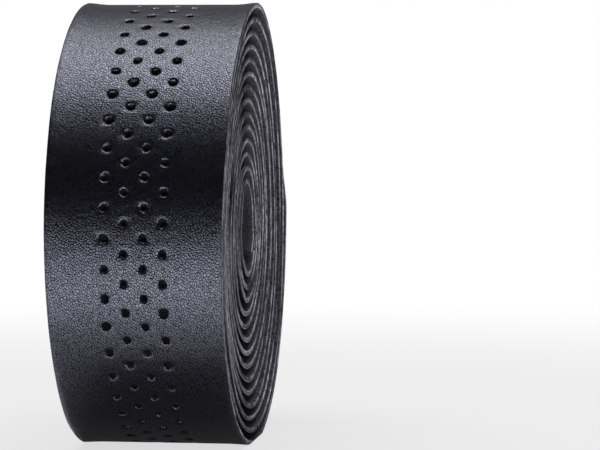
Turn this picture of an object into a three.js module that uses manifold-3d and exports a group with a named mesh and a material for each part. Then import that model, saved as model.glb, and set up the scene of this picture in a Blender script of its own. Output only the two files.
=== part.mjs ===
// Roll of bicycle handlebar tape: one strip of soft perforated tape, wound up on itself and
// standing on its rim. Millimetres, +Z up. X runs along the winding axis, and the origin is the
// middle of the small flat spot that the soft roll rests on.

import * as THREE from 'three';
import { mergeGeometries, mergeVertices } from 'three/addons/utils/BufferGeometryUtils.js';
import Module from 'manifold-3d';

const wasm = await Module();
wasm.setup();

// The strip, laid flat
const tapeWidth = 30;
const tapeLength = 2040;
const tapeThickness = 2.2;
const edgeThickness = 0.9; // left at the two long edges
const skiveWidth = 5; // the back tapers to the edge over this much of the width

// The winding
const hollowRadius = 4.9; // to the back of the first turn, at the inner cut end
const turnGap = 0.18; // from the face of one turn to the back of the next
const innerEndAngle = THREE.MathUtils.degToRad(-54.1); // about X, from +Y towards +Z
const innerSetback = 1.35; // the first turn stands this far back from the last at the +X face
const faceDish = 0.65; // and the turns halfway out this much further
const seatWidth = 10; // flat spot on the rim

// The perforation, in staggered rows across the middle of the strip
const holeDiameter = 1.6;
const holeDepth = 1.2;
const holeColumns = 4;
const columnSpacing = 3.3;
const rowPitch = 2.6;

// How finely the curves are cut into facets
const facetsPerTurn = 48;
const facetSag = 0.25; // facets are twice as long where they stay this close to the curve
const holeSides = 6;

const TURN = Math.PI * 2;
const windingPitch = tapeThickness + turnGap;
const facetAngle = TURN / facetsPerTurn;

// Winding angle at which the middle of the strip's thickness is as long as the strip,
// to the nearest whole facet.
function angleOfLength(length) {
  const startRadius = hollowRadius + tapeThickness / 2;
  const growth = windingPitch / TURN;
  const exact = (Math.sqrt(startRadius ** 2 + 2 * growth * length) - startRadius) / growth;
  return Math.round(exact / facetAngle) * facetAngle;
}

const woundAngle = angleOfLength(tapeLength);

// Radius of the strip's outer face after winding through an angle.
function faceRadius(angle) {
  return hollowRadius + tapeThickness + (windingPitch * angle) / TURN;
}

// How far a turn stands back along X from the last one.
function setback(angle) {
  const share = angle / woundAngle;
  return innerSetback * (1 - share) + faceDish * Math.sin(Math.PI * share);
}

// A point of the roll, about its axis, given across the strip's width and in from its outer face.
function pointOnRoll(angle, across, depth) {
  const radius = faceRadius(angle) - depth;
  const turned = innerEndAngle + angle;
  return [across - setback(angle), radius * Math.cos(turned), radius * Math.sin(turned)];
}

// Winding angles of the strip's cross-sections.
function sectionAngles() {
  const angles = [];
  let facet = 0;
  const lastFacet = Math.round(woundAngle / facetAngle);
  while (facet < lastFacet) {
    const angle = facet * facetAngle;
    angles.push(angle);
    const sagOfDouble = faceRadius(angle) * (1 - Math.cos(facetAngle));
    facet += sagOfDouble < facetSag ? 2 : 1;
  }
  angles.push(woundAngle);
  return angles;
}

// Cross-section of the strip: flat on its outer face, skived on its back along both edges.
function tapeSection() {
  const half = tapeWidth / 2;
  return [
    [-half, 0],
    [half, 0],
    [half, edgeThickness],
    [half - skiveWidth, tapeThickness],
    [skiveWidth - half, tapeThickness],
    [-half, edgeThickness],
  ];
}

// The strip wound up, as a closed body through all its cross-sections.
function woundStrip() {
  const section = tapeSection();
  const count = section.length;
  const angles = sectionAngles();
  const points = angles.flatMap((angle) =>
    section.flatMap(([across, depth]) => pointOnRoll(angle, across, depth)),
  );
  const faces = [];
  for (let step = 0; step < angles.length - 1; step += 1) {
    for (let corner = 0; corner < count; corner += 1) {
      const near = step * count + corner;
      const nearNext = step * count + ((corner + 1) % count);
      faces.push(near, near + count, nearNext, nearNext, near + count, nearNext + count);
    }
  }
  const lastSection = (angles.length - 1) * count;
  for (let corner = 1; corner < count - 1; corner += 1) {
    faces.push(0, corner, corner + 1);
    faces.push(lastSection, lastSection + corner + 1, lastSection + corner);
  }
  const strip = new THREE.BufferGeometry();
  strip.setAttribute('position', new THREE.Float32BufferAttribute(points, 3));
  strip.setIndex(faces);
  return strip;
}

// One blind hole's cutter, radial, from above the outer face down to the hole's floor.
function holeCutter(angle, across) {
  const clearance = 1;
  const length = holeDepth + clearance;
  const cutter = new THREE.CylinderGeometry(holeDiameter / 2, holeDiameter / 2, length, holeSides);
  const [x, y, z] = pointOnRoll(angle, across, length / 2 - clearance);
  cutter.rotateX(innerEndAngle + angle);
  cutter.translate(x, y, z);
  return cutter;
}

// Cutters for the perforation of the turn that shows. Each row has every second column's hole,
// and the next row has the others.
function perforationCutters() {
  const rowsPerTurn = Math.round((TURN * faceRadius(woundAngle - TURN / 2)) / rowPitch);
  const cutters = [];
  for (let row = 1; row < rowsPerTurn; row += 1) {
    const angle = woundAngle - ((row + 0.5) * TURN) / rowsPerTurn;
    for (let column = (row + 1) % 2; column < holeColumns; column += 2) {
      cutters.push(holeCutter(angle, (column - (holeColumns - 1) / 2) * columnSpacing));
    }
  }
  return mergeGeometries(cutters);
}

// Height of the winding axis over the flat spot.
function axisHeight() {
  const downwards = -TURN / 4;
  const sinceBottom = THREE.MathUtils.euclideanModulo(innerEndAngle + woundAngle - downwards, TURN);
  return Math.sqrt(faceRadius(woundAngle - sinceBottom) ** 2 - (seatWidth / 2) ** 2);
}

// Cutter that leaves the flat spot where the rim comes down.
function seatCutter() {
  const depth = seatWidth;
  const seat = new THREE.BoxGeometry(2 * tapeWidth, 2 * seatWidth, depth);
  seat.translate(0, 0, -axisHeight() - depth / 2);
  return seat;
}

// A closed geometry as a solid that can be cut.
function toSolid(geometry) {
  geometry.deleteAttribute('normal');
  geometry.deleteAttribute('uv');
  const merged = mergeVertices(geometry, 1e-5);
  const mesh = new wasm.Mesh({
    numProp: 3,
    vertProperties: Float32Array.from(merged.attributes.position.array),
    triVerts: Uint32Array.from(merged.index.array),
  });
  return new wasm.Manifold(mesh);
}

// A solid back as a geometry with flat facets.
function toGeometry(solid) {
  const { vertProperties, triVerts } = solid.getMesh();
  const geometry = new THREE.BufferGeometry();
  geometry.setAttribute('position', new THREE.BufferAttribute(vertProperties, 3));
  geometry.setIndex(new THREE.BufferAttribute(triVerts, 1));
  geometry.computeVertexNormals();
  return geometry;
}

const rolledTape = toSolid(woundStrip())
  .subtract(toSolid(perforationCutters()))
  .subtract(toSolid(seatCutter()));

const tapeMaterial = new THREE.MeshStandardMaterial({
  color: new THREE.Color(0.035, 0.035, 0.04),
  roughness: 0.5,
  metalness: 0,
});

const tapeRoll = new THREE.Mesh(toGeometry(rolledTape), tapeMaterial);
tapeRoll.name = 'tape_roll';
tapeRoll.position.z = axisHeight();

const roll = new THREE.Group();
roll.add(tapeRoll);

export default roll;
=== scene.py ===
import math

import bmesh
import bpy
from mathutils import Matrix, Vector


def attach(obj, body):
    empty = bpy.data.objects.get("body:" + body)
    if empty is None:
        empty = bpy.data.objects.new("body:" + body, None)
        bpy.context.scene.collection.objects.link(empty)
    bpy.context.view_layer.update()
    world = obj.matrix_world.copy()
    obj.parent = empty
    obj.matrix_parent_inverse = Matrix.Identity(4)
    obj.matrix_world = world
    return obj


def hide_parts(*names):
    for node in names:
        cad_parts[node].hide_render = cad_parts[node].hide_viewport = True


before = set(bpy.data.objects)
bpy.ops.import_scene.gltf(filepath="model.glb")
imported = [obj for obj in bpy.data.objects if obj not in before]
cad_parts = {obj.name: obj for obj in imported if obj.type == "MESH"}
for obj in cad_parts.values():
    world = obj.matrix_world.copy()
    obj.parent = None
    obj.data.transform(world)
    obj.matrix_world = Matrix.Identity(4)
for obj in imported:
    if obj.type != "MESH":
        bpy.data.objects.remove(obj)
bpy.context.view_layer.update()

# Handlebar tape: one long strip of soft foam with a thin leather-look face, perforated along its
# middle. It is sliced to width, and its back is skived so that both long edges run out thin. The
# strip is wound up on itself, and stands on its rim, where the soft roll settles on a small flat.
TAPE_WIDTH = 0.030
TAPE_THICKNESS = 0.0022
EDGE_THICKNESS = 0.0009
SKIVE_WIDTH = 0.005
SHOULDER_ROUND = 0.00020
CORNER_ROUND = 0.00010
# At this share of its width in from the edge, the skive is this deep under the face.
SKIVE_BOW = (0.4, 0.0015)
FACE_POINTS_FROM_EDGE = (0.0055, 0.0035, 0.0022, 0.0013, 0.0008)
# How far in from each long edge the back is painted lighter: painted light at the mouths of the gaps
# between turns.
BACK_LIT_RIM = 0.0011

# The winding, and what a soft roll does: it settles on its seat, its turns wander, its edges lift,
# the last turn spreads in front, and the outer end is pressed flat and tucked in.
WOUND_TURNS = 14.1875
HOLLOW_RADIUS = 0.0049
TURN_GAP = 0.00018
INNER_END_ANGLE = math.radians(-54.1)
INNER_SETBACK = 0.00135
FACE_DISH = 0.00065
AXIS_HEIGHT = 0.03897
TOP_FULLNESS = 0.00042
TOP_FULLNESS_FALL = 6.0
FACE_SPREAD = 0.00095
FACE_SPREAD_ANGLE = math.radians(115)
FACE_SPREAD_FALL = 1.6
FACE_SPREAD_OUTWARDS = 3.0
SEAT_SETTLE = 0.00055
SEAT_SETTLE_HEIGHT = 0.007
EDGE_LIFT = 0.00025
EDGE_LIFT_WIDTH = 0.0035
RIPPLES_PER_TURN = 9.0
EDGE_WANDER = 0.00060
WANDERS_PER_TURN = 1.9
END_FREEDOM = 0.3
END_SETTLE = 0.55
END_TUCK = 0.00045
END_SETTLE_LENGTH = 0.009
OUT_OF_ROUND = 0.00012
LUMPS_ROUND_ROLL = 1.6
SEAT_ROUND = 0.00030
WINDING_SEED = 3

# The perforation: blind holes in staggered rows. The punch draws the leather a little way in.
HOLE_COLUMNS = 4
COLUMN_SPACING = 0.0033
ROW_PITCH = 0.0026
ROWS_PER_TURN = 96
HOLE_DEPTH = 0.0012
# Shares of the hole's radius and of its depth, from the middle of its floor, up its wall and out
# over its softly rounded rim.
HOLE_PROFILE = (
    (0.0, 1.0), (0.28, 1.0), (0.42, 0.86), (0.55, 0.64), (0.70, 0.40),
    (0.88, 0.18), (1.06, 0.06), (1.34, 0.0),
)
HOLE_RADIUS = 0.00080
HOLE_VARY = 0.16
HOLE_RAGGED = 0.00042
HOLE_ROUGHNESS = 1100.0
RAGGED_RIM = 1.15
LEATHER_INTO_HOLE = 0.00062
LEATHER_OVER_EDGE = 0.00018
HOLE_FLOOR_SLACK = 0.00005

# How finely the strip is cut into faces, what counts as touching, and from which angle on an edge
# of the mesh stays sharp.
CELL_STEPS = 5
COVERED_STEPS_PER_TURN = 70
SEAM_REACH = 5e-6
HAIR = 1e-6
SHARP_FROM = math.radians(50)


def tape_outline():
    """Half of the strip's cross-section: across from its middle, and depth under its face."""
    half = TAPE_WIDTH / 2
    band = HOLE_COLUMNS * COLUMN_SPACING / 2
    steps = HOLE_COLUMNS * CELL_STEPS // 2
    points = [(band * i / steps, 0.0) for i in range(steps + 1)]
    points += [(half - back, 0.0) for back in FACE_POINTS_FROM_EDGE]
    for turned in (15, 35, 55, 75, 90):
        angle = math.radians(turned)
        across = half - SHOULDER_ROUND * (1 - math.sin(angle))
        points.append((across, SHOULDER_ROUND * (1 - math.cos(angle))))
    for turned in (0, 30, 60, 90):
        angle = math.radians(turned)
        across = half - CORNER_ROUND * (1 - math.cos(angle))
        points.append((across, EDGE_THICKNESS - CORNER_ROUND * (1 - math.sin(angle))))
    bow_share, bow_depth = SKIVE_BOW
    points += [(half - SKIVE_WIDTH * bow_share, bow_depth), (half - SKIVE_WIDTH, TAPE_THICKNESS)]
    return points


def tape_section():
    """The whole cross-section as one closed loop in its own object."""
    right = tape_outline()
    left = [(-across, depth) for across, depth in reversed(right[1:])]
    loop = [(across, depth, 0.0) for across, depth in right + left]
    mesh = bpy.data.meshes.new("wound_tape")
    mesh.from_pydata(loop, [(i, (i + 1) % len(loop)) for i in range(len(loop))], [])
    section = bpy.data.objects.new("wound_tape", mesh)
    bpy.context.scene.collection.objects.link(section)
    return section


def wire(tree, kind, sockets=None, **settings):
    """A new node, with each named socket set to a value or joined to another node's output."""
    node = tree.nodes.new(kind)
    for name, value in settings.items():
        setattr(node, name, value)
    for socket, value in (sockets or {}).items():
        if isinstance(value, bpy.types.NodeSocket):
            tree.links.new(value, node.inputs[socket])
        else:
            node.inputs[socket].default_value = value
    return node


def maths(tree, operation, *values):
    """A number worked out from numbers."""
    return wire(tree, "ShaderNodeMath", dict(enumerate(values)), operation=operation).outputs[0]


def parts(tree, vector):
    """X, Y and Z of a vector."""
    return wire(tree, "ShaderNodeSeparateXYZ", {0: vector}).outputs


def noise(tree, sockets, **settings):
    """A random pattern, as a number and as a colour."""
    return wire(tree, "ShaderNodeTexNoise", sockets, **settings).outputs


def smooth_step(tree, value, low, high):
    """0 under low, 1 over high, and a smooth rise between."""
    sockets = {"Value": value, "From Min": low, "From Max": high}
    return wire(tree, "ShaderNodeMapRange", sockets, interpolation_type="SMOOTHSTEP").outputs[0]


def curve_of(tree, share, points):
    """A value read off straight lines between points whose first number runs from 0 to 1."""
    node = wire(tree, "ShaderNodeFloatCurve", {"Value": share})
    curve = node.mapping.curves[0]
    while len(curve.points) < len(points):
        curve.points.new(0.5, 0.5)
    for point, (x, y) in zip(curve.points, points):
        point.location = (x, y)
        point.handle_type = "VECTOR"
    node.mapping.update()
    return node.outputs[0]


def moved_to(tree, geometry, x, y, z):
    """The geometry with each point put at the place that x, y and z give."""
    place = wire(tree, "ShaderNodeCombineXYZ", {"X": x, "Y": y, "Z": z}).outputs[0]
    return wire(tree, "GeometryNodeSetPosition", {"Geometry": geometry, "Position": place}).outputs[0]


def add_flat_strip(tree, size):
    """The strip laid flat along Y, open where the perforated band of its last turn goes."""
    covered_turns = maths(tree, "SUBTRACT", size["Wound Turns"], 1.0)
    covered_steps = maths(tree, "ROUND", maths(tree, "MULTIPLY", covered_turns, size["Covered Steps"]))
    last_steps = maths(tree, "MULTIPLY", size["Rows Per Turn"], size["Cell Steps"])
    turn_length = maths(tree, "MULTIPLY", size["Rows Per Turn"], size["Row Pitch"])
    covered_length = maths(tree, "MULTIPLY", covered_turns, turn_length)
    count = maths(tree, "ADD", maths(tree, "ADD", covered_steps, last_steps), 1.0)
    stations = wire(tree, "GeometryNodeMeshLine", {"Count": count}).outputs[0]
    index = wire(tree, "GeometryNodeInputIndex").outputs[0]
    covered_step = maths(tree, "DIVIDE", covered_length, covered_steps)
    last_step = maths(tree, "DIVIDE", turn_length, last_steps)
    covered = maths(tree, "MULTIPLY", maths(tree, "MINIMUM", index, covered_steps), covered_step)
    beyond = maths(tree, "MAXIMUM", maths(tree, "SUBTRACT", index, covered_steps), 0.0)
    along = maths(tree, "MULTIPLY_ADD", beyond, last_step, covered)
    stations = moved_to(tree, stations, 0.0, along, 0.0)
    path = wire(tree, "GeometryNodeMeshToCurve", {"Mesh": stations}).outputs[0]
    profile = wire(tree, "GeometryNodeMeshToCurve", {"Mesh": size["Section"]}).outputs[0]
    sweep = {"Curve": path, "Profile Curve": profile, "Fill Caps": True}
    strip = wire(tree, "GeometryNodeCurveToMesh", sweep).outputs[0]
    across, along, height = parts(tree, wire(tree, "GeometryNodeInputPosition").outputs[0])
    band = maths(tree, "MULTIPLY", maths(tree, "MULTIPLY", size["Columns"], size["Column Spacing"]), 0.5)
    in_band = maths(tree, "LESS_THAN", maths(tree, "ABSOLUTE", across), band)
    in_last_turn = maths(tree, "GREATER_THAN", along, covered_length)
    on_face = maths(tree, "GREATER_THAN", height, -HAIR)
    chosen = maths(tree, "MULTIPLY", maths(tree, "MULTIPLY", in_band, in_last_turn), on_face)
    cut = {"Geometry": strip, "Selection": chosen}
    return wire(tree, "GeometryNodeDeleteGeometry", cut, domain="FACE").outputs[0], covered_length


def add_hole_cell(tree, size):
    """One cell of the perforated band, with its blind hole: rings from the hole's middle out."""
    around = maths(tree, "MULTIPLY_ADD", size["Cell Steps"], 4.0, 1.0)
    rings = len(HOLE_PROFILE) + 1
    sockets = {"Size X": 1.0, "Size Y": 1.0, "Vertices X": around, "Vertices Y": rings}
    sheet = wire(tree, "GeometryNodeMeshGrid", sockets).outputs[0]
    turned, outwards, _ = parts(tree, wire(tree, "GeometryNodeInputPosition").outputs[0])
    corner = 0.75 * math.pi  # the rings' first points lie towards a corner of the cell
    angle = maths(tree, "MULTIPLY_ADD", turned, 2 * math.pi, corner)
    share = maths(tree, "ADD", outwards, 0.5)
    widest = HOLE_PROFILE[-1][0]
    shares = [ring / (rings - 1) for ring in range(rings - 1)]
    radii = [(s, radius / widest) for s, (radius, depth) in zip(shares, HOLE_PROFILE)]
    depths = [(s, depth) for s, (radius, depth) in zip(shares, HOLE_PROFILE)]
    reach = maths(tree, "MULTIPLY", size["Hole Radius"], widest)
    radius = maths(tree, "MULTIPLY", curve_of(tree, share, radii + [(1.0, 1.0)]), reach)
    depth = maths(tree, "MULTIPLY", curve_of(tree, share, depths + [(1.0, 0.0)]), size["Hole Depth"])
    on_border = maths(tree, "GREATER_THAN", share, 1 - 0.5 / (rings - 1))
    sides = []
    for side, start in ((size["Column Spacing"], 0.0), (size["Row Pitch"], math.pi / 2)):
        from_start = maths(tree, "SUBTRACT", angle, start)
        from_side = maths(tree, "PINGPONG", from_start, math.pi)
        slope = maths(tree, "MULTIPLY_ADD", from_side, -4 / math.pi, 2.0)
        clamped = wire(tree, "ShaderNodeClamp", {"Value": slope, "Min": -1.0, "Max": 1.0}).outputs[0]
        border = maths(tree, "MULTIPLY", maths(tree, "MULTIPLY", clamped, side), 0.5)
        ring = maths(tree, "MULTIPLY", radius, maths(tree, "COSINE", from_start))
        sides.append(wire(tree, "ShaderNodeMix", {0: on_border, 2: ring, 3: border}).outputs[0])
    return moved_to(tree, sheet, sides[0], sides[1], maths(tree, "MULTIPLY", depth, -1.0))


def add_band(tree, size, covered_length):
    """The perforated band of the last turn: cells with a hole and plain cells, turn about."""
    points_across = maths(tree, "ADD", size["Cell Steps"], 1.0)
    plain_size = {
        "Size X": size["Column Spacing"],
        "Size Y": size["Row Pitch"],
        "Vertices X": points_across,
        "Vertices Y": points_across,
    }
    plain = wire(tree, "GeometryNodeMeshGrid", plain_size).outputs[0]
    choices = wire(tree, "GeometryNodeJoinGeometry")
    for cell in (plain, add_hole_cell(tree, size)):
        choice = wire(tree, "GeometryNodeGeometryToInstance", {0: cell}).outputs[0]
        tree.links.new(choice, choices.inputs[0])
    rows, columns = size["Rows Per Turn"], size["Columns"]
    total = maths(tree, "MULTIPLY", rows, columns)
    spots = wire(tree, "GeometryNodeMeshLine", {"Count": total}).outputs[0]
    index = wire(tree, "GeometryNodeInputIndex").outputs[0]
    column = maths(tree, "FLOOR", maths(tree, "DIVIDE", maths(tree, "ADD", index, 0.5), rows))
    row = maths(tree, "SUBTRACT", index, maths(tree, "MULTIPLY", column, rows))
    middle = maths(tree, "MULTIPLY_ADD", columns, -0.5, 0.5)
    across = maths(tree, "MULTIPLY", maths(tree, "ADD", column, middle), size["Column Spacing"])
    along = maths(tree, "MULTIPLY_ADD", maths(tree, "ADD", row, 0.5), size["Row Pitch"], covered_length)
    spots = moved_to(tree, spots, across, along, 0.0)
    staggered = maths(tree, "MODULO", maths(tree, "ADD", row, column), 2.0)
    before_end = maths(tree, "LESS_THAN", row, maths(tree, "SUBTRACT", rows, 1.0))
    sockets = {
        "Points": spots,
        "Instance": choices.outputs[0],
        "Pick Instance": True,
        "Instance Index": maths(tree, "MULTIPLY", staggered, before_end),
    }
    band = wire(tree, "GeometryNodeInstanceOnPoints", sockets).outputs[0]
    return wire(tree, "GeometryNodeRealizeInstances", {"Geometry": band}).outputs[0]


def add_ragged_holes(tree, size, strip, covered_length):
    """Each hole a little wider or narrower and rough inside, as a punch leaves soft foam."""
    position = wire(tree, "GeometryNodeInputPosition").outputs[0]
    across, along, height = parts(tree, position)
    spacing, pitch = size["Column Spacing"], size["Row Pitch"]
    band = maths(tree, "MULTIPLY", maths(tree, "MULTIPLY", size["Columns"], spacing), 0.5)
    in_band = maths(tree, "LESS_THAN", maths(tree, "ABSOLUTE", across), band)
    in_last_turn = maths(tree, "GREATER_THAN", along, covered_length)
    perforated = maths(tree, "MULTIPLY", in_band, in_last_turn)

    from_side = maths(tree, "ADD", across, band)
    from_start = maths(tree, "SUBTRACT", along, covered_length)
    column = maths(tree, "FLOOR", maths(tree, "DIVIDE", from_side, spacing))
    row = maths(tree, "FLOOR", maths(tree, "DIVIDE", from_start, pitch))
    middle_across = maths(tree, "MULTIPLY", maths(tree, "ADD", column, 0.5), spacing)
    middle_along = maths(tree, "MULTIPLY", maths(tree, "ADD", row, 0.5), pitch)
    from_across = maths(tree, "ADD", maths(tree, "SUBTRACT", across, middle_across), band)
    from_along = maths(tree, "SUBTRACT", maths(tree, "SUBTRACT", along, middle_along), covered_length)
    offset = wire(tree, "ShaderNodeCombineXYZ", {"X": from_across, "Y": from_along}).outputs[0]
    reach = wire(tree, "ShaderNodeVectorMath", {0: offset}, operation="LENGTH").outputs["Value"]
    rim = maths(tree, "MULTIPLY", size["Hole Radius"], RAGGED_RIM)
    beyond = smooth_step(tree, reach, rim, maths(tree, "MULTIPLY", pitch, 0.5))
    near = maths(tree, "MULTIPLY", maths(tree, "SUBTRACT", 1.0, beyond), perforated)

    cell = wire(tree, "ShaderNodeCombineXYZ", {"X": column, "Y": row, "Z": size["Seed"]}).outputs[0]
    draw = wire(tree, "ShaderNodeTexWhiteNoise", {"Vector": cell}, noise_dimensions="3D")
    chance = maths(tree, "MULTIPLY_ADD", draw.outputs["Value"], 2.0, -1.0)
    wider = maths(tree, "MULTIPLY", chance, size["Hole Vary"])
    rough = noise(tree, {"Vector": position, "Scale": HOLE_ROUGHNESS, "Detail": 2.0})["Color"]
    sway_across, sway_along, sway_depth = parts(tree, rough)
    moved = []
    for start, from_middle, sway in (
        (across, from_across, sway_across),
        (along, from_along, sway_along),
    ):
        sway = maths(tree, "MULTIPLY", maths(tree, "SUBTRACT", sway, 0.5), size["Hole Ragged"])
        shift = maths(tree, "MULTIPLY_ADD", from_middle, wider, sway)
        moved.append(maths(tree, "MULTIPLY_ADD", near, shift, start))
    deeper = maths(tree, "MULTIPLY", maths(tree, "MULTIPLY_ADD", sway_depth, 2.0, -1.0), near)
    return moved_to(tree, strip, *moved, maths(tree, "MULTIPLY_ADD", height, deeper, height))


def add_setback(tree, size, across, angle, turns, from_end, settle):
    """How far each turn stands back along X: dished, wandering, spread in front, end tucked in."""
    share = maths(tree, "DIVIDE", turns, size["Wound Turns"])
    bulge = maths(tree, "SINE", maths(tree, "MULTIPLY", share, math.pi))
    dish = maths(tree, "MULTIPLY", bulge, size["Face Dish"])
    inner = maths(tree, "MULTIPLY", maths(tree, "SUBTRACT", 1.0, share), size["Inner Setback"])
    setback = maths(tree, "ADD", dish, inner)

    seeded = maths(tree, "ADD", turns, maths(tree, "MULTIPLY", size["Seed"], 100.0))
    sockets = {"W": seeded, "Scale": WANDERS_PER_TURN, "Detail": 4.0}
    slow = noise(tree, sockets, noise_dimensions="1D")[0]
    turn_length = maths(tree, "MULTIPLY", size["Rows Per Turn"], size["Row Pitch"])
    held = smooth_step(tree, from_end, 0.0, turn_length)
    free = maths(tree, "MULTIPLY_ADD", held, 1 - END_FREEDOM, END_FREEDOM)
    wander = maths(tree, "MULTIPLY", maths(tree, "SUBTRACT", slow, 0.5), size["Edge Wander"])
    setback = maths(tree, "MULTIPLY_ADD", wander, maths(tree, "MULTIPLY", free, 2.0), setback)
    setback = maths(tree, "MULTIPLY_ADD", settle, size["End Tuck"], setback)

    half = maths(tree, "MULTIPLY", size["Tape Width"], 0.5)
    towards = maths(tree, "COSINE", maths(tree, "SUBTRACT", angle, size["Face Spread Angle"]))
    towards = maths(tree, "POWER", maths(tree, "MAXIMUM", towards, 0.0), FACE_SPREAD_FALL)
    outermost = maths(tree, "POWER", share, FACE_SPREAD_OUTWARDS)
    outermost = maths(tree, "MULTIPLY", outermost, towards)
    far_edge = maths(tree, "MULTIPLY", half, -1.0)
    spread = maths(tree, "MULTIPLY", outermost, smooth_step(tree, across, far_edge, half))
    return maths(tree, "SUBTRACT", setback, maths(tree, "MULTIPLY", spread, size["Face Spread"]))


def add_lift(tree, size, across, cosine, sine, turns):
    """How far the face stands off its spiral: lifted edges, a fuller top and slow lumps."""
    half = maths(tree, "MULTIPLY", size["Tape Width"], 0.5)
    lift_start = maths(tree, "SUBTRACT", half, size["Edge Lift Width"])
    rise = smooth_step(tree, maths(tree, "ABSOLUTE", across), lift_start, half)
    sockets = {"W": turns, "Scale": RIPPLES_PER_TURN, "Detail": 3.0, "Roughness": 0.7}
    ripple = maths(tree, "MULTIPLY", noise(tree, sockets, noise_dimensions="1D")[0], 2.0)
    lift = maths(tree, "MULTIPLY", maths(tree, "MULTIPLY", rise, size["Edge Lift"]), ripple)

    upward = maths(tree, "POWER", maths(tree, "MAXIMUM", sine, 0.0), TOP_FULLNESS_FALL)
    share = maths(tree, "DIVIDE", turns, size["Wound Turns"])
    fullness = maths(tree, "MULTIPLY", maths(tree, "MULTIPLY", upward, share), size["Top Fullness"])
    lift = maths(tree, "ADD", lift, fullness)

    ring = wire(tree, "ShaderNodeCombineXYZ", {"X": cosine, "Y": sine, "Z": size["Seed"]}).outputs[0]
    lumps = noise(tree, {"Vector": ring, "Scale": LUMPS_ROUND_ROLL, "Detail": 2.0})[0]
    lump = maths(tree, "MULTIPLY", maths(tree, "SUBTRACT", lumps, 0.5), size["Out Of Round"])
    return maths(tree, "MULTIPLY_ADD", lump, 2.0, lift)


def add_winding(tree, size, strip):
    """The flat strip wound up: length becomes winding angle, and depth comes off the radius."""
    across, along, height = parts(tree, wire(tree, "GeometryNodeInputPosition").outputs[0])
    turn_length = maths(tree, "MULTIPLY", size["Rows Per Turn"], size["Row Pitch"])
    turns = maths(tree, "DIVIDE", along, turn_length)
    angle = maths(tree, "MULTIPLY_ADD", turns, 2 * math.pi, size["Inner End Angle"])
    cosine, sine = maths(tree, "COSINE", angle), maths(tree, "SINE", angle)
    turns_left = maths(tree, "SUBTRACT", size["Wound Turns"], turns)
    from_end = maths(tree, "MULTIPLY", turns_left, turn_length)
    end_reached = smooth_step(tree, from_end, 0.0, size["End Settle Length"])
    settle = maths(tree, "SUBTRACT", 1.0, end_reached)

    setback = add_setback(tree, size, across, angle, turns, from_end, settle)
    lift = add_lift(tree, size, across, cosine, sine, turns)
    pressed = maths(tree, "MULTIPLY", size["End Settle"], -1.0)
    squeeze = maths(tree, "MULTIPLY_ADD", settle, pressed, 1.0)
    above_back = maths(tree, "MULTIPLY", maths(tree, "ADD", height, size["Thickness"]), squeeze)
    height = maths(tree, "SUBTRACT", above_back, size["Thickness"])

    face = maths(tree, "ADD", size["Hollow Radius"], size["Thickness"])
    face = maths(tree, "MULTIPLY_ADD", turns, size["Winding Pitch"], face)
    radius = maths(tree, "ADD", maths(tree, "ADD", face, height), lift)
    level = maths(tree, "MULTIPLY_ADD", radius, sine, size["Axis Height"])
    firm = smooth_step(tree, level, 0.0, size["Seat Settle Height"])
    given = maths(tree, "MULTIPLY", maths(tree, "SUBTRACT", 1.0, firm), size["Seat Settle"])
    settled = maths(tree, "SMOOTH_MAX", maths(tree, "ADD", level, given), 0.0, size["Seat Round"])
    x = maths(tree, "SUBTRACT", across, setback)
    return moved_to(tree, strip, x, maths(tree, "MULTIPLY", radius, cosine), settled)


def add_marks(tree, size, strip):
    """The strip with its flat place stored, and its cut sides, its back and its holes marked."""
    flat_place = wire(tree, "GeometryNodeInputPosition").outputs[0]
    sockets = {"Geometry": strip, "Name": "laid_flat", "Value": flat_place}
    strip = wire(tree, "GeometryNodeStoreNamedAttribute", sockets, data_type="FLOAT_VECTOR").outputs[0]

    across, along, height = parts(tree, flat_place)
    across = maths(tree, "ABSOLUTE", across)
    depth = maths(tree, "MULTIPLY", height, -1.0)
    half = maths(tree, "MULTIPLY", size["Tape Width"], 0.5)
    turn_length = maths(tree, "MULTIPLY", size["Rows Per Turn"], size["Row Pitch"])
    full_length = maths(tree, "MULTIPLY", size["Wound Turns"], turn_length)
    from_middle = maths(tree, "SUBTRACT", along, maths(tree, "MULTIPLY", full_length, 0.5))
    to_end = maths(tree, "MULTIPLY_ADD", full_length, 0.5, -HAIR)
    on_end = maths(tree, "GREATER_THAN", maths(tree, "ABSOLUTE", from_middle), to_end)
    at_edge = maths(tree, "GREATER_THAN", across, maths(tree, "SUBTRACT", half, CORNER_ROUND))
    inside = maths(tree, "SUBTRACT", 1.0, at_edge)
    is_cut = maths(tree, "MULTIPLY", at_edge, maths(tree, "GREATER_THAN", depth, LEATHER_OVER_EDGE))
    under_face = maths(tree, "MULTIPLY", maths(tree, "GREATER_THAN", depth, LEATHER_INTO_HOLE), inside)
    is_back = maths(tree, "MAXIMUM", on_end, under_face)

    punched = maths(tree, "LESS_THAN", across, maths(tree, "MULTIPLY", half, 0.5))
    hole_floor = maths(tree, "ADD", size["Hole Depth"], HOLE_FLOOR_SLACK)
    punched = maths(tree, "MULTIPLY", punched, maths(tree, "LESS_THAN", depth, hole_floor))
    not_end = maths(tree, "SUBTRACT", 1.0, on_end)
    is_hole = maths(tree, "MULTIPLY", maths(tree, "MULTIPLY", under_face, punched), not_end)
    settings = {"data_type": "FLOAT", "domain": "FACE"}
    for name, mark in (("is_cut", is_cut), ("is_back", is_back), ("is_hole", is_hole)):
        sockets = {"Geometry": strip, "Name": name, "Value": mark}
        strip = wire(tree, "GeometryNodeStoreNamedAttribute", sockets, **settings).outputs[0]
    return strip


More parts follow.
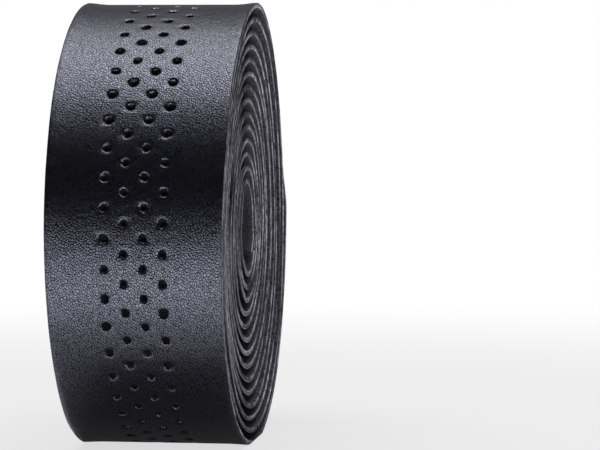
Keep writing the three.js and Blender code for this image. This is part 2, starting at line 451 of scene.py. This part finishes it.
def winding_tree(face_material, cut_material, back_material, hole_material):
    """The tree that turns the strip's cross-section into the finished roll."""
    tree = bpy.data.node_groups.new("wind_tape", "GeometryNodeTree")
    numbers = (
        "Tape Width", "Thickness", "Hollow Radius", "Winding Pitch", "Wound Turns",
        "Inner End Angle", "Inner Setback", "Face Dish", "Axis Height", "Edge Lift",
        "Edge Lift Width", "Edge Wander", "Out Of Round", "Top Fullness", "Face Spread",
        "Face Spread Angle", "Seat Settle", "Seat Settle Height", "Seat Round", "End Settle",
        "End Tuck", "End Settle Length", "Column Spacing", "Row Pitch", "Hole Radius",
        "Hole Depth", "Hole Vary", "Hole Ragged",
    )
    counts = ("Columns", "Rows Per Turn", "Cell Steps", "Covered Steps", "Seed")
    tree.interface.new_socket("Section", in_out="INPUT", socket_type="NodeSocketGeometry")
    for name in numbers:
        tree.interface.new_socket(name, in_out="INPUT", socket_type="NodeSocketFloat")
    for name in counts:
        tree.interface.new_socket(name, in_out="INPUT", socket_type="NodeSocketInt")
    tree.interface.new_socket("Roll", in_out="OUTPUT", socket_type="NodeSocketGeometry")
    group_input = tree.nodes.new("NodeGroupInput")
    size = {socket.name: socket for socket in group_input.outputs if socket.name}

    strip, covered_length = add_flat_strip(tree, size)
    joined = wire(tree, "GeometryNodeJoinGeometry")
    tree.links.new(strip, joined.inputs[0])
    tree.links.new(add_band(tree, size, covered_length), joined.inputs[0])
    sockets = {"Geometry": joined.outputs[0], "Distance": SEAM_REACH}
    whole = wire(tree, "GeometryNodeMergeByDistance", sockets).outputs[0]
    whole = add_marks(tree, size, whole)
    whole = add_ragged_holes(tree, size, whole, covered_length)
    roll = add_winding(tree, size, whole)
    roll = wire(tree, "GeometryNodeSetShadeSmooth", {"Geometry": roll}).outputs[0]
    roll = wire(tree, "GeometryNodeRealizeInstances", {"Geometry": roll}).outputs[0]
    roll = wire(tree, "GeometryNodeSetMaterial", {"Geometry": roll, "Material": face_material}).outputs[0]
    for name, material in (
        ("is_back", back_material),
        ("is_hole", hole_material),
        ("is_cut", cut_material),
    ):
        mark = wire(tree, "GeometryNodeInputNamedAttribute", {"Name": name}, data_type="FLOAT").outputs[0]
        chosen = maths(tree, "GREATER_THAN", mark, 0.5)
        sockets = {"Geometry": roll, "Selection": chosen, "Material": material}
        roll = wire(tree, "GeometryNodeSetMaterial", sockets).outputs[0]
    tree.links.new(roll, tree.nodes.new("NodeGroupOutput").inputs[0])
    return tree


def new_material(name):
    """A node material with only its Principled shader, and that shader."""
    material = bpy.data.materials.new(name)
    material.use_nodes = True
    return material, material.node_tree, material.node_tree.nodes["Principled BSDF"]


def laid_flat(tree):
    """Place on the strip as it lay flat: across it, along it and up from its face, in metres."""
    return wire(tree, "ShaderNodeAttribute", attribute_name="laid_flat").outputs["Vector"]


def scaled_colour(tree, colour, factor):
    """A colour made lighter or darker by a number."""
    sockets = {0: colour, 1: factor}
    return wire(tree, "ShaderNodeVectorMath", sockets, operation="MULTIPLY").outputs[0]


def tone_ramp(tree, value, tones):
    """Colours read off a ramp of (place, colour) pairs."""
    ramp = wire(tree, "ShaderNodeValToRGB", {"Fac": value})
    elements = ramp.color_ramp.elements
    while len(elements) < len(tones):
        elements.new(0.5)
    for element, (position, colour) in zip(elements, tones):
        element.position = position
        element.color = (*colour, 1)
    return ramp.outputs[0]


def add_bump(tree, shader, height, distance, strength=1.0):
    """Fine relief in the shader's normal."""
    sockets = {"Strength": strength, "Distance": distance, "Height": height}
    bump = wire(tree, "ShaderNodeBump", sockets)
    tree.links.new(bump.outputs[0], shader.inputs["Normal"])


def leather_face():
    """Black polyurethane face with a fine pebble grain and a soft gloss."""
    material, tree, shader = new_material("tape_face")
    place = laid_flat(tree)
    drift = noise(tree, {"Vector": place, "Scale": 1100.0, "Detail": 2.0})["Color"]
    sockets = {0: drift, 1: (0.0007,) * 3, 2: place}
    warped = wire(tree, "ShaderNodeVectorMath", sockets, operation="MULTIPLY_ADD").outputs[0]
    slant = {"Vector": warped, "Rotation": (0.0, 0.0, math.radians(35)), "Scale": (1.0, 1.5, 1.0)}
    drawn = wire(tree, "ShaderNodeMapping", slant, vector_type="TEXTURE").outputs[0]
    sockets = {"Vector": drawn, "Scale": 2900.0, "Randomness": 0.85}
    settings = {"voronoi_dimensions": "2D", "feature": "DISTANCE_TO_EDGE"}
    pebbles = wire(tree, "ShaderNodeTexVoronoi", sockets, **settings).outputs["Distance"]
    rounded = smooth_step(tree, pebbles, 0.0, 0.42)
    creases = noise(tree, {"Vector": drawn, "Scale": 2300.0, "Detail": 2.0})[0]
    swell = noise(tree, {"Vector": place, "Scale": 330.0, "Detail": 2.0})[0]
    creased = maths(tree, "MULTIPLY_ADD", creases, 0.6, -0.15)
    grain = maths(tree, "MULTIPLY_ADD", rounded, 0.85, creased)
    height = maths(tree, "MULTIPLY_ADD", grain, 1.5, maths(tree, "MULTIPLY", swell, 1.4))
    add_bump(tree, shader, height, distance=0.000016)
    worn = {"Value": grain, "From Min": 0.1, "From Max": 0.8, "To Min": 0.05, "To Max": 1.0}
    polish = wire(tree, "ShaderNodeMapRange", worn).outputs[0]
    tree.links.new(polish, shader.inputs["Specular IOR Level"])
    shader.inputs["Base Color"].default_value = (0.0030, 0.0034, 0.0058, 1)
    shader.inputs["Roughness"].default_value = 0.27
    shader.inputs["IOR"].default_value = 1.9
    shader.inputs["Specular Tint"].default_value = (0.79, 0.80, 1.0, 1)
    return material


def cut_edge():
    """The bare cut side of the strip: grey fuzzy foam, with painted shade next to the face and a painted
    highlight along its feathered back corner.
    """
    material, tree, shader = new_material("tape_cut")
    place = laid_flat(tree)
    sockets = {"Vector": place, "Scale": (1500.0, 2600.0, 600.0)}
    stretched = wire(tree, "ShaderNodeMapping", sockets).outputs[0]
    fibres = noise(tree, {"Vector": stretched, "Scale": 1.0, "Detail": 4.0, "Roughness": 0.75})[0]
    _, along, height = parts(tree, place)
    depth = maths(tree, "MULTIPLY", height, -1.0 / EDGE_THICKNESS)
    ragged = maths(tree, "MULTIPLY_ADD", maths(tree, "SUBTRACT", fibres, 0.5), 1.0, depth)
    # Painted shade and highlight: near black next to the face, where the shoulder lies in shade, and
    # bright at the back corner, where the edge catches the light. The grey between is the foam's own
    # tone.
    shade = tone_ramp(tree, ragged, (
        (0.16, (0.03, 0.03, 0.036)),
        (0.30, (0.22, 0.2156, 0.2574)),
        (0.66, (0.24, 0.2352, 0.2808)),
        (0.88, (0.46, 0.45, 0.53)),
    ))
    clumps = noise(tree, {"Vector": place, "Scale": 420.0, "Detail": 2.0})[0]
    patchy = maths(tree, "MULTIPLY_ADD", clumps, 0.9, maths(tree, "MULTIPLY", fibres, 0.75))
    sockets = {"Value": patchy, "From Min": 0.57, "From Max": 1.08, "To Min": 0.0, "To Max": 2.3}
    spread = wire(tree, "ShaderNodeMapRange", sockets).outputs[0]
    sockets = {"W": maths(tree, "MULTIPLY", along, 30.0), "Scale": 1.0, "Detail": 2.0}
    streaks = noise(tree, sockets, noise_dimensions="1D")[0]
    uneven = {"Value": streaks, "From Min": 0.3, "From Max": 0.7, "To Min": 0.3, "To Max": 1.7}
    spread = maths(tree, "MULTIPLY", spread, wire(tree, "ShaderNodeMapRange", uneven).outputs[0])
    tree.links.new(scaled_colour(tree, shade, spread), shader.inputs["Base Color"])
    add_bump(tree, shader, fibres, distance=0.00015)
    shader.inputs["Roughness"].default_value = 0.9
    shader.inputs["Specular IOR Level"].default_value = 0.1
    return material


def foam_back():
    """The strip's back: dark foam, dull and slightly fuzzy, with painted light making it lighter close to
    its long edges, where the gaps between turns open.
    """
    material, tree, shader = new_material("tape_back")
    place = laid_flat(tree)
    pores = noise(tree, {"Vector": place, "Scale": 2400.0, "Detail": 3.0, "Roughness": 0.75})[0]
    shade = tone_ramp(tree, pores, (
        (0.36, (0.010, 0.010, 0.012)),
        (0.64, (0.130, 0.128, 0.151)),
    ))
    across = maths(tree, "ABSOLUTE", parts(tree, place)[0])
    edge = TAPE_WIDTH / 2
    # Painted light: near its long edges the back is up to half as light again, where the gaps between
    # turns open to the light.
    rim = smooth_step(tree, across, edge - BACK_LIT_RIM, edge - CORNER_ROUND)
    lighter = maths(tree, "MULTIPLY_ADD", rim, 0.5, 1.0)
    tree.links.new(scaled_colour(tree, shade, lighter), shader.inputs["Base Color"])
    add_bump(tree, shader, pores, distance=0.00005, strength=0.8)
    shader.inputs["Roughness"].default_value = 0.9
    shader.inputs["Specular IOR Level"].default_value = 0.2
    return material


def hole_painted_shade():
    """The floor and lower wall of a hole, given a flat dark colour: painted shade for the deep recess."""
    material, _, shader = new_material("tape_hole")
    # Painted shade: this dark colour stands for the shade deep inside the hole.
    shader.inputs["Base Color"].default_value = (0.018, 0.018, 0.021, 1)
    shader.inputs["Roughness"].default_value = 0.8
    shader.inputs["Specular IOR Level"].default_value = 0.2
    return material


def turn_outwards(mesh):
    """Points every face of a closed mesh outwards."""
    shell = bmesh.new()
    shell.from_mesh(mesh)
    bmesh.ops.recalc_face_normals(shell, faces=shell.faces)
    shell.to_mesh(mesh)
    shell.free()


def wind_up(section, tree, sizes):
    """Runs the tree on the section and leaves the roll as a plain mesh in the same object, with
    its faces outwards and without the empty material slot that the tree adds."""
    winding = section.modifiers.new("winding", "NODES")
    winding.node_group = tree
    for socket in tree.interface.items_tree:
        if socket.in_out == "INPUT" and socket.name in sizes:
            winding[socket.identifier] = sizes[socket.name]
    evaluated = section.evaluated_get(bpy.context.evaluated_depsgraph_get())
    mesh = bpy.data.meshes.new_from_object(evaluated)
    section.modifiers.remove(winding)
    section.data = mesh
    while None in mesh.materials[:]:
        mesh.materials.pop(index=mesh.materials[:].index(None))
    turn_outwards(mesh)
    mesh.set_sharp_from_angle(angle=SHARP_FROM)
    return section


tape_roll = wind_up(
    tape_section(),
    winding_tree(leather_face(), cut_edge(), foam_back(), hole_painted_shade()),
    {
        "Tape Width": TAPE_WIDTH,
        "Thickness": TAPE_THICKNESS,
        "Hollow Radius": HOLLOW_RADIUS,
        "Winding Pitch": TAPE_THICKNESS + TURN_GAP,
        "Wound Turns": WOUND_TURNS,
        "Inner End Angle": INNER_END_ANGLE,
        "Inner Setback": INNER_SETBACK,
        "Face Dish": FACE_DISH,
        "Axis Height": AXIS_HEIGHT,
        "Edge Lift": EDGE_LIFT,
        "Edge Lift Width": EDGE_LIFT_WIDTH,
        "Edge Wander": EDGE_WANDER,
        "Out Of Round": OUT_OF_ROUND,
        "Top Fullness": TOP_FULLNESS,
        "Face Spread": FACE_SPREAD,
        "Face Spread Angle": FACE_SPREAD_ANGLE,
        "Seat Settle": SEAT_SETTLE,
        "Seat Settle Height": SEAT_SETTLE_HEIGHT,
        "Seat Round": SEAT_ROUND,
        "End Settle": END_SETTLE,
        "End Tuck": END_TUCK,
        "End Settle Length": END_SETTLE_LENGTH,
        "Column Spacing": COLUMN_SPACING,
        "Row Pitch": ROW_PITCH,
        "Hole Radius": HOLE_RADIUS,
        "Hole Depth": HOLE_DEPTH,
        "Hole Vary": HOLE_VARY,
        "Hole Ragged": HOLE_RAGGED,
        "Columns": HOLE_COLUMNS,
        "Rows Per Turn": ROWS_PER_TURN,
        "Cell Steps": CELL_STEPS,
        "Covered Steps": COVERED_STEPS_PER_TURN,
        "Seed": WINDING_SEED,
    },
)
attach(tape_roll, "root")
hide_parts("tape_roll")

# The table: a plain white sheet. Lamps light it near the roll, where it takes the roll's shadow,
# and further off it runs out into the white of the background.
FLOOR_RADIUS = 0.9
SHADOW_REACH = 0.10
WHITE_FROM = 0.30
NEAR_WHITE = 0.68


def seen_or_mirrored(tree):
    """1 for what the camera sees straight, mirrored or through something clear, and else 0."""
    rays = wire(tree, "ShaderNodeLightPath").outputs
    seen = maths(tree, "MAXIMUM", rays["Is Camera Ray"], rays["Is Glossy Ray"])
    return maths(tree, "MAXIMUM", seen, rays["Is Transmission Ray"])


def white_sheet():
    """Diffuse white that gives way to an even white away from the roll."""
    material, tree, shader = new_material("white_sheet")
    shader.inputs["Base Color"].default_value = (0.9, 0.9, 0.9, 1)
    shader.inputs["Roughness"].default_value = 1.0
    shader.inputs["Specular IOR Level"].default_value = 0.0
    place = wire(tree, "ShaderNodeTexCoord").outputs["Object"]
    length = wire(tree, "ShaderNodeVectorMath", {0: place}, operation="LENGTH")
    distance = length.outputs["Value"]
    far = smooth_step(tree, distance, SHADOW_REACH, WHITE_FROM)
    share = maths(tree, "MULTIPLY_ADD", far, 1 - NEAR_WHITE, NEAR_WHITE)
    even = maths(tree, "MULTIPLY", share, seen_or_mirrored(tree))
    glow = wire(tree, "ShaderNodeEmission", {"Color": (1, 1, 1, 1), "Strength": 1.0}).outputs[0]
    mixed = wire(tree, "ShaderNodeMixShader", {0: even, 1: shader.outputs[0], 2: glow}).outputs[0]
    tree.links.new(mixed, tree.nodes["Material Output"].inputs["Surface"])
    return material


bpy.ops.mesh.primitive_circle_add(vertices=96, radius=FLOOR_RADIUS, fill_type="NGON")
floor = bpy.context.object
floor.name = "floor"
floor.data.materials.append(white_sheet())

# Light: one broad softbox overhead, a low strip of light in front of the roll, and a dim room.
# Cards show only in reflections: a black one round the front and the sides, which keeps the tape
# from greying, a grey one behind, and a grey one under the roll: a painted shadow with a faint
# painted glow, standing for the table in the roll's shadow.
SOFTBOX_PLACE = (-0.05, 0.06, 0.64)
SOFTBOX_SIZE = (0.8, 0.52)
SOFTBOX_POWER = 2.65
STRIP_PLACE = (0.10, -0.135, 0.003)
STRIP_SIZE = (0.29, 0.11)
STRIP_TURN = math.radians(-8)
STRIP_POWER = 0.132
CARD_RADIUS = 0.32
CARD_FOOT = 0.004
CARD_HEIGHT = 0.62
# The card under the roll: a painted shadow for the reflections, with a faint painted glow.
UNDER_CARD_SIZE = (0.042, 0.082)
UNDER_CARD_CORNER = (-0.0163, -0.0445)
UNDER_CARD_TONE = 0.33
UNDER_CARD_GLOW = 0.06
OVER_FLOOR = 0.0002
ROOM_LIGHT = 0.12


def area_light(name, place, size, power, rotation=(0.0, 0.0, 0.0)):
    """A rectangular lamp that the camera doesn't see."""
    lamp = bpy.data.lights.new(name, "AREA")
    lamp.shape = "RECTANGLE"
    lamp.size, lamp.size_y = size
    lamp.energy = power
    light = bpy.data.objects.new(name, lamp)
    light.location = place
    light.rotation_euler = rotation
    light.visible_camera = False
    bpy.context.scene.collection.objects.link(light)


def add_card(name, tone, points, faces, glow=0.0):
    """A matt card that only reflections show."""
    mesh = bpy.data.meshes.new(name)
    mesh.from_pydata(points, [], faces)
    material, _, shader = new_material(name)
    shader.inputs["Base Color"].default_value = (tone, tone, tone, 1)
    shader.inputs["Roughness"].default_value = 1.0
    shader.inputs["Emission Color"].default_value = (1, 1, 1, 1)
    shader.inputs["Emission Strength"].default_value = glow
    mesh.materials.append(material)
    card = bpy.data.objects.new(name, mesh)
    bpy.context.scene.collection.objects.link(card)
    card.visible_camera = False
    card.visible_diffuse = False
    card.visible_shadow = False
    card.visible_transmission = False


def curved_card(name, tone, start, end):
    """A card bent round the table from one angle to another."""
    steps = 48
    points = []
    for i in range(steps + 1):
        angle = math.radians(start + (end - start) * i / steps)
        x, y = CARD_RADIUS * math.cos(angle), CARD_RADIUS * math.sin(angle)
        points += [(x, y, CARD_FOOT), (x, y, CARD_HEIGHT)]
    faces = [(2 * i, 2 * i + 2, 2 * i + 3, 2 * i + 1) for i in range(steps)]
    add_card(name, tone, points, faces)


area_light("softbox", SOFTBOX_PLACE, SOFTBOX_SIZE, SOFTBOX_POWER)
area_light("low_strip", STRIP_PLACE, STRIP_SIZE, STRIP_POWER, (math.pi, 0.0, STRIP_TURN))
curved_card("black_card", tone=0.01, start=150, end=405)
curved_card("grey_card", tone=0.35, start=45, end=150)
left_x, front_y = UNDER_CARD_CORNER
right_x, back_y = left_x + UNDER_CARD_SIZE[0], front_y + UNDER_CARD_SIZE[1]
corners = ((left_x, front_y), (right_x, front_y), (right_x, back_y), (left_x, back_y))
under_corners = [(x, y, OVER_FLOOR) for x, y in corners]
# Painted shadow and glow: the tape reflects this card where it would reflect the table in the roll's
# shadow.
add_card("reflected_shadow_card", UNDER_CARD_TONE, under_corners, [(0, 1, 2, 3)], UNDER_CARD_GLOW)

world = bpy.data.worlds.new("white_room")
world.use_nodes = True
bpy.context.scene.world = world
room = world.node_tree
strength = wire(room, "ShaderNodeMix", {0: seen_or_mirrored(room), 2: ROOM_LIGHT, 3: 1.0}).outputs[0]
room.links.new(strength, room.nodes["Background"].inputs["Strength"])
room.nodes["Background"].inputs["Color"].default_value = (1, 1, 1, 1)

scene = bpy.context.scene
scene.view_settings.view_transform = "Standard"

# The camera: a long lens in front of the rim, a little above the roll's axis and a little round to
# the face whose inner turns stand back. It points so that the roll stands left in the frame.
CAMERA_AZIMUTH = math.radians(10.03)
CAMERA_ELEVATION = math.radians(3.42)
CAMERA_DISTANCE = 0.521
FOCAL_PIXELS = 2881
FRAME_SIZE = (600, 450)
ROLL_IN_FRAME = (173.6, 223.4)
SENSOR_WIDTH = 36.0

back = Vector((
    math.sin(CAMERA_AZIMUTH) * math.cos(CAMERA_ELEVATION),
    -math.cos(CAMERA_AZIMUTH) * math.cos(CAMERA_ELEVATION),
    math.sin(CAMERA_ELEVATION),
))
roll_middle = Vector((0, 0, AXIS_HEIGHT))
camera_data = bpy.data.cameras.new("camera")
camera_data.sensor_width = SENSOR_WIDTH
camera_data.lens = FOCAL_PIXELS / FRAME_SIZE[0] * SENSOR_WIDTH
camera = bpy.data.objects.new("camera", camera_data)
camera.location = roll_middle + back * CAMERA_DISTANCE
turn_right = math.atan((FRAME_SIZE[0] / 2 - ROLL_IN_FRAME[0]) / FOCAL_PIXELS)
turn_down = math.atan((FRAME_SIZE[1] / 2 - ROLL_IN_FRAME[1]) / FOCAL_PIXELS)
camera.rotation_euler = (
    math.pi / 2 - CAMERA_ELEVATION - turn_down,
    0.0,
    CAMERA_AZIMUTH - turn_right,
)
scene.collection.objects.link(camera)
scene.camera = camera
